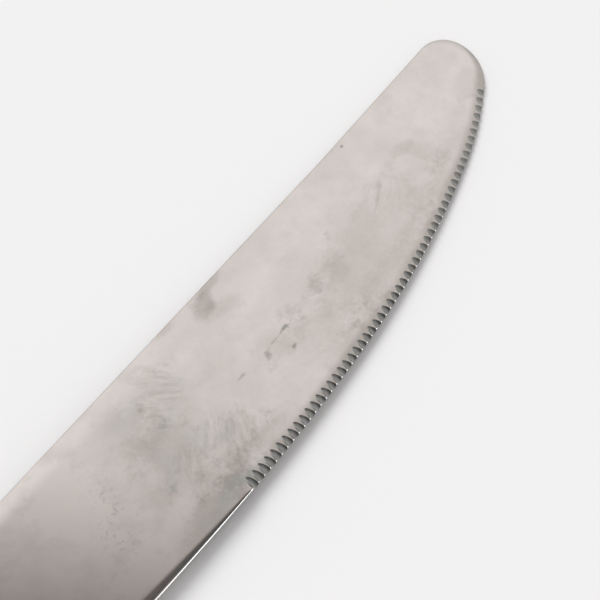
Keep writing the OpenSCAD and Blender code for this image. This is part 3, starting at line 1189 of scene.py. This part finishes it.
    def nose(self, start: np.ndarray, end: np.ndarray) -> np.ndarray:
        """Columns round the nose that point to the middle of the last rib.

        Args:
            start: The last rib's point on the spine.
            end: The last rib's point on the edge.

        Returns:
            A grid of points on the right face, one row of them a column, from the outline in, with
            the painted shade as a fourth number.
        """
        sweep = self.plan.sweep
        before = np.arange(len(sweep)) <= self.plan.nose_row
        above, below = before & (sweep[:, 0] > start[0]), ~before & (sweep[:, 0] > end[0])
        path = np.concatenate([start[None], sweep[above | below], end[None]])
        along = np.concatenate([[0], np.hypot(*np.diff(path, axis=0).T).cumsum()])
        share = np.arange(1, self.nose_columns) / self.nose_columns
        rim = np.column_stack([np.interp(share * along[-1], along, path[:, i]) for i in (0, 1)])
        inward = (start + end) / 2 - rim
        inward /= np.hypot(*inward.T)[:, None]
        travel = np.gradient(np.concatenate([start[None], rim, end[None]]), axis=0)[1:-1]
        normal = np.column_stack([travel[:, 1], -travel[:, 0]]) / np.hypot(*travel.T)[:, None]
        depth = Columns.spine * (inward * normal).sum(1)[:, None]
        plan_points = rim[:, None] + Columns.spine[None, :, None] * inward[:, None]
        share = share[:, None]
        blend = self.nose_blend.at(share)
        crown = self.spine_crown.toward(self.nose_crown, blend)
        crown = crown.toward(self.nose_foot, self.nose_end.at(share))
        # painted dark rim round the nose, blended from the one along the spine
        grime = self.painted_spine_shade.toward(self.painted_nose_shade, blend).at(depth)
        x, y = plan_points[..., 0], plan_points[..., 1]
        z = self.face(x, y, crown.at(depth) + self.corner.at(depth), 0 * x)
        return np.stack([x, y, z, grime], -1)

    def serrations(self) -> tuple[np.ndarray, np.ndarray]:
        """Fine columns over the grooves, parallel to them, from the edge in.

        A groove is a cylinder of radius r whose axis leans and climbs inwards. At u across it and w
        along it the floor lies at axis height + w tan(slope) - sqrt(r^2 - u^2) / cos(slope). The
        middle rows of each column lie about the place where that floor meets the face.

        Returns:
            A grid of points, one row of them a column, with the painted shade as a fourth number, and
            the x of the bounds between grooves.
        """
        plan, r = self.plan, self.groove_r
        lean, slope = math.radians(self.groove_lean), math.radians(self.groove_slope)
        along = np.array([math.sin(lean), math.cos(lean)])
        across = np.array([math.cos(lean), -math.sin(lean)])

        # grooves at an even pitch, and the bounds between them, measured square to the grooves
        count = math.floor((plan.sweep_l - self.groove_end) / self.groove_pitch)
        edge_x = np.linspace(plan.sweep_x, plan.sweep_x + self.groove_pitch * count, self.edge_points)
        edge = np.column_stack([edge_x, plan.lower(edge_x)])
        reach = edge @ across
        middle_x = plan.sweep_x + self.groove_pitch * (np.arange(count) + 0.5)
        middle = np.column_stack([middle_x, plan.lower(middle_x)])
        centre = middle @ across
        bound = np.concatenate([(centre[1:] + centre[:-1]) / 2, reach[-1:]])

        # columns across each groove, with one beside it on either hand and one on the bound
        turn = np.pi * np.arange(self.groove_steps) / (self.groove_steps - 1)
        beside = r + self.groove_gap
        u = np.concatenate([[-beside], -r * np.cos(turn), [beside]])
        at = np.concatenate([centre[:, None] + u, bound[:, None]], axis=1)
        u = np.concatenate([np.broadcast_to(u, (count, len(u))), (bound - centre)[:, None]], axis=1)
        outside = (np.abs(u) > r)[..., None]
        rim = np.stack([np.interp(at, reach, edge[:, i]) for i in (0, 1)], -1)
        tilt = np.interp(rim[..., 0], edge_x, np.gradient(edge[:, 1], edge_x))
        w_rim = (rim - middle[:, None]) @ along

        # where the floor of the groove meets the face
        hollow = np.sqrt(np.clip(r ** 2 - u ** 2, 0, None)) / math.cos(slope)
        hollow = np.where(np.abs(u) > r, -1.0, hollow)
        half = plan.half_t(*middle.T)[:, None]
        land = self.groove_land + self.tip_land * smoothstep(self.tip_land_from, plan.blade_l, middle_x)
        axis = land[:, None] - half + r / math.cos(slope)
        rise_u = -plan.taper_x * across[0] + plan.taper_y * across[1]
        rise_w = -plan.taper_x * along[0] + plan.taper_y * along[1]
        w_meet = (half + u * rise_u - axis + hollow) / (math.tan(slope) - rise_w)
        meet = np.maximum(w_meet - w_rim, self.least_creases * self.crease)

        # depths of each column's rows, and the lower of face and floor there
        inner = Columns.edge[Columns.fine - 1] + self.chamfer
        near = [meet * share for share in self.floor_shares]
        far = [meet - self.crease, meet, meet + self.crease, np.maximum(meet + 2 * self.crease, inner)]
        plain = np.concatenate([[0, self.chamfer], self.chamfer + Columns.edge[2:Columns.fine]])
        depth = np.where(outside, plain, np.stack(near + far, -1))
        points = rim[..., None, :] + depth[..., None] * along
        x, y = points[..., 0], points[..., 1]
        square = (along[1] - tilt * along[0]) / np.hypot(1, tilt)
        flat = self.face(x, y, 0 * x, self.edge_fall(x, depth * square[..., None]))
        floor = (axis - hollow)[..., None] + (w_rim[..., None] + depth) * math.tan(slope)
        z = np.where(outside, flat, smooth_min(flat, floor, self.crease_rounding))
        z[..., -1] = flat[..., -1]
        # painted shade in the grooves, which spreads towards the tip
        tipward = self.tipward_shade.at(middle_x)[:, None, None]
        grime = self.painted_groove_shade((u / r)[..., None], depth, meet[..., None], tipward)
        return np.stack([x, y, z, grime], -1).reshape(-1, Columns.fine, 4), rim[:, -1, 0]

    def painted_groove_shade(self, share: np.ndarray, depth: np.ndarray, meet: np.ndarray,
                     tipward: np.ndarray) -> np.ndarray:
        """Painted shade in the grooves: on the wall towards the tip and in a crescent at the inner end.

        It stands in for the dark reflections of the walls. Towards the tip it spreads across, and a
        thinner coat covers the floor.

        Args:
            share: Places across a groove, from -1 to 1.
            depth: Depths in from the edge.
            meet: Depths at which the grooves end.
            tipward: How far the painted shade spreads, by the place along the blade, from 0 to 1.

        Returns:
            The painted shade at each point, none outside the grooves.
        """
        wall = self.painted_wall_shade.at(share + self.painted_shade_spread * tipward)
        end = self.painted_end_shade.at(depth / meet) * self.painted_end_shade_side.at(share)
        end = np.maximum(end * (1 - self.painted_end_shade_thinning * tipward), self.painted_floor_shade * tipward)
        return np.where((np.abs(share) > 1) | (depth > meet), 0, np.maximum(wall, end))

    def build(self) -> bpy.types.Object:
        """Makes the blade with bolster and tang.

        Returns:
            The new object.
        """
        plan, skin = self.plan, Skin()
        fine, bounds = self.serrations()
        stops = (*self.rib_stops, plan.sweep_x)
        spans = [np.linspace(*span, endpoint=False) for span in zip(stops, stops[1:], self.rib_counts)]
        x = np.concatenate([*spans, stops[-1:]])
        behind = len(x)
        ribs = self.ribs(np.concatenate([x, bounds]))
        per_groove = len(fine) // len(bounds)
        band = len(Columns.spine) - 1
        inner = band + Columns.between
        flip = np.array([1, 1, -1, 1])

        # both faces: whole ribs behind the serrations, and from there on as far as the grooves
        top_behind = skin.add(ribs[:behind])
        top = np.concatenate([top_behind[:, :inner + 1], skin.add(ribs[behind:, :inner + 1])])
        under = skin.add(ribs * flip)
        skin.quads(top)
        rows = np.arange(ribs.shape[1] - 1)
        ends = np.where(rows == rows[-1], Cut.EDGE, Cut.POLISHED)
        skin.quads(top_behind[:, inner:], ends[inner:])
        skin.quads(under, ends)

        # the grooves, and the polygons that join their columns to the ribs and to the left face
        first = top_behind[-1, :-Columns.fine - 1:-1]
        teeth = np.concatenate([first[None], skin.add(fine)])
        column = np.arange(len(fine)) % per_groove
        hollow = (column > 1) & (column < per_groove - 2)
        row = np.arange(Columns.fine - 1)
        floor = (row <= len(self.floor_shares)) * Cut.GROUND
        skin.quads(teeth, np.where(hollow[:, None], floor, (row == 0) * Cut.EDGE))
        starts = np.arange(len(bounds)) * per_groove
        reach = starts[:, None] + np.arange(per_groove + 1)
        rib = np.arange(len(bounds)) + behind
        sides = np.stack([top[rib, inner], top[rib - 1, inner]], 1)
        gaps = np.concatenate([teeth[reach, -1], sides], axis=1)
        skin.polygons(gaps[1:])
        skin.polygons(np.concatenate([gaps[0], top_behind[-1, inner + 1:-Columns.fine]]))
        foot = np.stack([under[rib, -1], under[rib - 1, -1]], 1)
        skin.polygons(np.concatenate([teeth[reach, 0], foot], axis=1), Cut.EDGE)

        # the nose, then the wall round the outline and the face in the handle's mouth
        nose_points = self.nose(ribs[-1, 0, :2], ribs[-1, -1, :2])
        nose = np.concatenate([top[-1, :band + 1][None], skin.add(nose_points)])
        skin.quads(nose)
        skin.polygons(np.concatenate([nose[-1], teeth[-1, ::-1]]))
        skin.polygons(np.concatenate([nose[:, -1], teeth[-1, -1:], top[-1, :band:-1]]))
        nose_under = np.concatenate([under[-1, :band + 1][None], skin.add(nose_points * flip),
                                     under[-1, :-band - 2:-1][None]])
        skin.quads(nose_under)
        skin.polygons(np.concatenate([nose_under[:, -1], under[-1, -band - 2:band:-1]]))
        front = np.concatenate([nose[:, 0], teeth[-1, :1]])
        for upper, lower in ((front, nose_under[:, 0]), (top[:, 0], under[:, 0]),
                             (top_behind[:, -1], under[:behind, -1])):
            skin.quads(np.stack([upper, lower], 1), Cut.EDGE)
        skin.polygons(np.concatenate([top_behind[0], under[0, ::-1]]))
        self.add_tang(skin)
        x, y, z = np.concatenate(skin.points).T
        inset = np.where(z > 0, y - plan.lower(x), self.far_inset)
        skin.inset = np.where(x > plan.sweep_x, np.minimum(inset, self.far_inset), self.far_inset)
        piece = skin.build("knife_blade", plan)
        piece.data.materials.append(BladeSteel().material(plan))
        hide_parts("blade")
        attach(piece, BODY)
        return piece

    def add_tang(self, skin: Skin) -> None:
        """Adds the tang: a tapered bar from inside the bolster, with round notches in both sides.

        Args:
            skin: The surface that takes it, as a closed shell of its own.
        """
        half_w, end_w = self.tang_w / 2, self.tang_w * self.tang_end_share / 2
        taper = (half_w - end_w) / self.tang_l
        turn = np.linspace(0, np.pi, self.tang_notch_points)
        side = [np.array([[self.tang_start, half_w + taper * self.tang_start]])]
        for share in self.tang_notch_shares:
            x = -self.tang_l * share + self.tang_notch_r * np.cos(turn)
            y = half_w - self.tang_notch_r * np.sin(turn)
            side.append(np.column_stack([x, y]))
        side.append(np.array([[-self.tang_l, end_w]]))
        upper = np.concatenate(side)
        upper[:, 1] = np.minimum(upper[:, 1], half_w + taper * upper[:, 0])
        loop = np.concatenate([upper, upper[::-1] * [1, -1]])
        flat = np.stack([np.column_stack([loop, np.full(len(loop), s * self.tang_t / 2)])
                         for s in (1, -1)])
        grid = skin.add(flat)
        skin.quads(np.concatenate([grid, grid[:, :1]], axis=1))
        skin.polygons(grid[0])
        skin.polygons(grid[1, ::-1])


@dataclass
class Handle:
    """Two pressed shells, brazed together along a seam and to the bolster round their mouth."""

    plan: KnifePlan
    wall: float = 0.8
    section_n: float = 2.5
    section_steps: int = 72
    body_steps: int = 110
    cap_steps: int = 40
    last_turn: float = 89.5

    def half_section(self, a: np.ndarray, b: np.ndarray) -> np.ndarray:
        """Superellipse over the seam: y = a cos^(2/n), z = seam / 2 + b sin^(2/n).

        Args:
            a: Half widths.
            b: Half thicknesses over the seam.

        Returns:
            Points across each section, as y and z.
        """
        turn = np.pi * np.arange(self.section_steps + 1) / self.section_steps
        y = a[:, None] * signed_power(np.cos(turn), self.section_n)
        z = self.plan.seam_t / 2 + b[:, None] * signed_power(np.sin(turn), self.section_n)
        return np.stack([y, np.broadcast_to(z, y.shape)], -1)

    def rings(self, inset: float) -> np.ndarray:
        """Fine sections of the handle at an inset from its skin.

        Args:
            inset: How far the surface lies inside.

        Returns:
            One row a section: distance from the shells' mouth, half width and half thickness.
        """
        x = np.linspace(0, self.plan.cap_x, self.body_steps)
        turn = np.radians(self.last_turn) * np.arange(1, self.cap_steps + 1) / self.cap_steps
        return self.plan.handle_rings(inset, x, turn, 1.0)

    def cup(self, inset: float, side: Side) -> np.ndarray:
        """Surface of one shell at an inset from its skin.

        Args:
            inset: How far the surface lies inside.
            side: The shell's side of the knife.

        Returns:
            A grid of points, one row of them a section, from the mouth to the butt.
        """
        rings = self.rings(inset)
        section = self.half_section(rings[:, 1], rings[:, 2])
        x = np.broadcast_to(-self.plan.mouth_braze_t - rings[:, :1], section.shape[:2])
        return np.stack([x, section[..., 0], side.value * section[..., 1]], -1)

    def shell(self, side: Side) -> bpy.types.Object:
        """Makes one shell: an outer and an inner cup joined along the seam and at the mouth.

        Args:
            side: Which shell.

        Returns:
            The new object.
        """
        skin = Skin()
        outer, inner = skin.add(self.cup(0, side)), skin.add(self.cup(self.wall, side))
        skin.quads(outer)
        skin.quads(inner)
        for j in (0, -1):
            skin.quads(np.stack([outer[:, j], inner[:, j]], 1))
        skin.quads(np.stack([outer[0], inner[0]], 1))
        skin.polygons(outer[-1])
        skin.polygons(inner[-1])
        skin.polygons(np.array([outer[-1, -1], inner[-1, -1], inner[-1, 0], outer[-1, 0]]))
        word = side.name.lower()
        return self.dress(skin, f"{word}_shell", f"{word}_handle_shell", HandleSteel())

    def seam(self) -> bpy.types.Object:
        """Makes the line of braze between the shells: a flat bar bent round the handle's plan.

        Returns:
            The new object.
        """
        skin, plan = Skin(), self.plan
        paths = []
        for inset in (0.0, self.wall):
            rings = self.rings(inset)
            x = -plan.mouth_braze_t - rings[:, 0]
            paths.append(np.concatenate([np.column_stack([x, rings[:, 1]]),
                                         np.column_stack([x, -rings[:, 1]])[::-1]]))
        corners = ((0, 1), (0, -1), (1, -1), (1, 1))
        bar = np.stack([np.column_stack([paths[path], np.full(len(paths[0]), s * plan.seam_t / 2)])
                        for path, s in corners], axis=1)
        grid = skin.add(bar)
        skin.quads(np.concatenate([grid, grid[:, :1]], axis=1))
        skin.polygons(grid[0])
        skin.polygons(grid[-1])
        return self.dress(skin, "seam_line", "seam_braze", Braze())

    def mouth(self) -> bpy.types.Object:
        """Makes the ring of braze between the bolster and the shells' mouth.

        Returns:
            The new object.
        """
        skin, plan = Skin(), self.plan
        loops = []
        for inset in (0.0, self.wall):
            a = np.array([plan.mouth_w / 2 - inset])
            b = np.array([(plan.mouth_t - plan.seam_t) / 2 - inset])
            half = self.half_section(a, b)[0]
            loops.append(np.concatenate([half, -half]))
        corners = ((0, 0.0), (0, -plan.mouth_braze_t), (1, -plan.mouth_braze_t), (1, 0.0))
        ring = np.stack([np.column_stack([np.full(len(loops[0]), x), loops[i]])
                         for i, x in corners], axis=1)
        grid = skin.add(ring)
        wrapped = np.concatenate([grid, grid[:1]])
        skin.quads(np.concatenate([wrapped, wrapped[:, :1]], axis=1))
        return self.dress(skin, "mouth_ring", "mouth_braze", Braze())

    def dress(self, skin: Skin, name: str, node: str, finish: Finish) -> bpy.types.Object:
        """Builds a piece of the handle and gives it its finish.

        Args:
            skin: The piece's surface.
            name: The piece's name.
            node: The CAD node that it stands for.
            finish: Its finish.

        Returns:
            The new object.
        """
        piece = skin.build(name, self.plan)
        piece.data.materials.append(finish.material(self.plan))
        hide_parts(node)
        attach(piece, BODY)
        return piece


@dataclass
class Filler:
    """The cement inside the handle, which keeps its CAD shape."""

    plan: KnifePlan
    node: str = "handle_filler"

    def build(self) -> bpy.types.Object:
        """Gives the CAD node its finish.

        Returns:
            The CAD node's object.
        """
        piece = bpy.data.objects[self.node]
        material = Cement().material(self.plan)
        if not piece.material_slots:
            piece.data.materials.append(material)
        for slot in piece.material_slots:
            slot.material = material
        return piece


@dataclass(frozen=True)
class SoftLight:
    """A round soft light in the sky that only polished steel sees, by angles in degrees."""

    azimuth: float
    elevation: float
    inner: float
    outer: float
    strength: float

    def glow(self, shader: Shader, direction: Value) -> Value:
        """Brightness of the light: full inside its inner angle and nothing past its outer one.

        Args:
            shader: The world's node tree.
            direction: The direction of view.

        Returns:
            The brightness.
        """
        turn, rise = math.radians(self.azimuth), math.radians(self.elevation)
        axis = (math.cos(rise) * math.cos(turn), math.cos(rise) * math.sin(turn), math.sin(rise))
        rim, core = math.cos(math.radians(self.outer)), math.cos(math.radians(self.inner))
        return shader.dot(direction, axis).rise(Fade(rim, core, self.strength))


@dataclass
class Studio:
    """Pale table, soft light from the far side, and the camera.

    Steel mirrors a sky of its own: the broad key light beyond the knife, a dim zenith, a band
    along the horizon that ends behind the camera, and the softs. Of these the first two show as
    the bright line in the chamfer along the edge, the next three light rounded rims and the walls
    of the grooves, and the last one, wide and dim, is for views from the far side. The fades of
    tint and horizon go by the cosine of the angle to the key light's azimuth.
    """

    key: SoftLight = SoftLight(38.5, 0.0, 65.2, 75.3, 0.96)
    softs: tuple[SoftLight, ...] = (
        SoftLight(-70.0, 13.5, 11.0, 13.5, 3.2), SoftLight(-54.0, 8.0, 8.5, 10.5, 3.6),
        SoftLight(-68.0, 48.0, 8.0, 25.0, 0.7), SoftLight(95.0, 42.0, 12.0, 38.0, 1.1),
        SoftLight(0.0, 90.0, 8.0, 13.0, 0.5), SoftLight(-148.0, 22.0, 30.0, 68.0, 0.27))
    key_tint: Colour = (0.86, 0.89, 0.86)
    key_tinted: Fade = Fade(0.6, 0.95)
    dusk_tint: Colour = (1.0, 0.965, 0.93)
    dusk_start: Fade = Fade(0.1, 0.24)
    dusk_end: Fade = Fade(0.28, 0.42)
    horizon: Fade = Fade(-0.75, -0.35, 0.55)
    horizon_low: float = 8.0
    horizon_high: float = 28.0
    shade: float = 0.035
    zenith_shade: float = 0.1
    sun_share: float = 0.38
    sun_azimuth: float = 68.0
    sun_elevation: float = 52.0
    sun_angle: float = 42.0
    floor: Colour = (0.895, 0.885, 0.885)
    backdrop: Colour = (0.9, 0.9, 0.9)
    floor_half: float = 3.0
    aim: Axis = (0.078024, -0.000914, 0.0)
    distance: float = 0.211357
    azimuth: float = 38.516
    elevation: float = 62.912
    roll: float = 0.109
    lens: float = 105.0
    sensor_w: float = 36.0
    clip_start: float = 0.01

    def table(self) -> bpy.types.Object:
        """Makes the matt table top.

        Returns:
            The floor's object.
        """
        mesh = bpy.data.meshes.new("table_top")
        corners = np.array([[-1, -1, 0], [1, -1, 0], [1, 1, 0], [-1, 1, 0]]) * self.floor_half
        mesh.from_pydata(corners, [], [[0, 1, 2, 3]])
        table = new_object("table_top", mesh)
        material, shader = new_material("table_top")
        matt = shader.node("ShaderNodeBsdfDiffuse", None, {"Color": (*self.floor, 1.0)})
        shader.node("ShaderNodeOutputMaterial", None, {"Surface": matt})
        mesh.materials.append(material)
        return table

    def sun(self) -> bpy.types.Object:
        """Makes the broad sun that casts the knife's shadow, unseen by polished steel.

        On a bare floor its share of the light is sun_share, as its strength times the sine of its
        elevation is pi times that share.

        Returns:
            The lamp's object.
        """
        data = bpy.data.lights.new("window_light", "SUN")
        rise = math.radians(self.sun_elevation)
        data.energy = math.pi * self.sun_share / math.sin(rise)
        data.angle = math.radians(self.sun_angle)
        lamp = new_object("window_light", data)
        lamp.rotation_euler = (0, math.pi / 2 - rise, math.radians(self.sun_azimuth))
        lamp.visible_glossy = False
        return lamp

    def sky(self) -> None:
        """Makes the world: soft lights for steel, an even light for the table, a pale backdrop."""
        world = bpy.data.worlds.new("studio")
        bpy.context.scene.world = world
        world.use_nodes = True
        world.cycles.sampling_method = "NONE"
        shader = Shader(world.node_tree)
        direction = shader.node("ShaderNodeTexCoord", output="Generated")
        height = shader.dot(direction, UP)
        zenith = height.most(0.0)
        turn = math.radians(self.key.azimuth)
        ahead = shader.dot(direction, (math.cos(turn), math.sin(turn), 0.0))
        low, high = (math.sin(math.radians(angle)) for angle in (self.horizon_low, self.horizon_high))
        seen = self.key.glow(shader, direction) + self.shade + zenith * zenith * self.zenith_shade
        seen = seen.most(height.fall(Fade(low, high)) * ahead.rise(self.horizon))
        for soft in self.softs:
            seen = seen.most(soft.glow(shader, direction))
        path = shader.node("ShaderNodeLightPath", output="Is Glossy Ray")
        strength = seen * path + (1.0 - path) * (1.0 - self.sun_share)
        dusk = ahead.rise(self.dusk_start) * ahead.fall(self.dusk_end)
        tint = shader.mix(ahead.rise(self.key_tinted), shader.mix(dusk, WHITE, self.dusk_tint),
                          self.key_tint)
        tint = shader.mix(path, WHITE, tint)
        light = shader.node("ShaderNodeBackground", None, {"Color": tint, "Strength": strength})
        plain = shader.node("ShaderNodeBackground", None, {"Color": (*self.backdrop, 1.0)})
        camera = path.output("Is Camera Ray")
        surface = shader.node("ShaderNodeMixShader", None, {0: camera, 1: light, 2: plain})
        shader.node("ShaderNodeOutputWorld", None, {"Surface": surface})

    def camera(self) -> bpy.types.Object:
        """Makes the camera, aimed at a point of the table from an azimuth, an elevation and a roll.

        Returns:
            The camera's object.
        """
        data = bpy.data.cameras.new("camera")
        data.lens, data.sensor_width = self.lens, self.sensor_w
        data.clip_start = self.clip_start
        turn, rise = math.radians(self.azimuth), math.radians(self.elevation)
        across = math.cos(rise)
        view = Vector((across * math.cos(turn), across * math.sin(turn), -math.sin(rise)))
        right = view.cross(Vector(UP)).normalized()
        down = view.cross(right)
        roll = math.radians(self.roll)
        right, down = (right * math.cos(roll) + down * math.sin(roll),
                       down * math.cos(roll) - right * math.sin(roll))
        turned = Matrix((right, -down, -view)).transposed().to_4x4()
        camera = new_object("camera", data)
        camera.matrix_world = Matrix.Translation(Vector(self.aim) - view * self.distance) @ turned
        bpy.context.scene.camera = camera
        return camera

    def build(self) -> None:
        """Makes the camera, the table and the world, and sets the plain view transform."""
        self.camera()
        self.table()
        self.sun()
        self.sky()
        bpy.context.scene.view_settings.view_transform = "Standard"


def main() -> None:
    """Builds the studio and the knife's pieces."""
    logging.basicConfig(level=logging.INFO, format="%(name)s: %(message)s")
    plan = KnifePlan()
    log.info("pitch %.4f degrees, place %s mm", math.degrees(plan.pitch), np.round(plan.place, 3))
    Studio().build()
    handle = Handle(plan)
    pieces = [Blade(plan).build(), handle.shell(Side.RIGHT), handle.shell(Side.LEFT), handle.seam(),
              handle.mouth(), Filler(plan).build()]
    for piece in pieces:
        log.info("%s: %d faces", piece.name, len(piece.data.polygons))


if __name__ == "__main__":
    main()
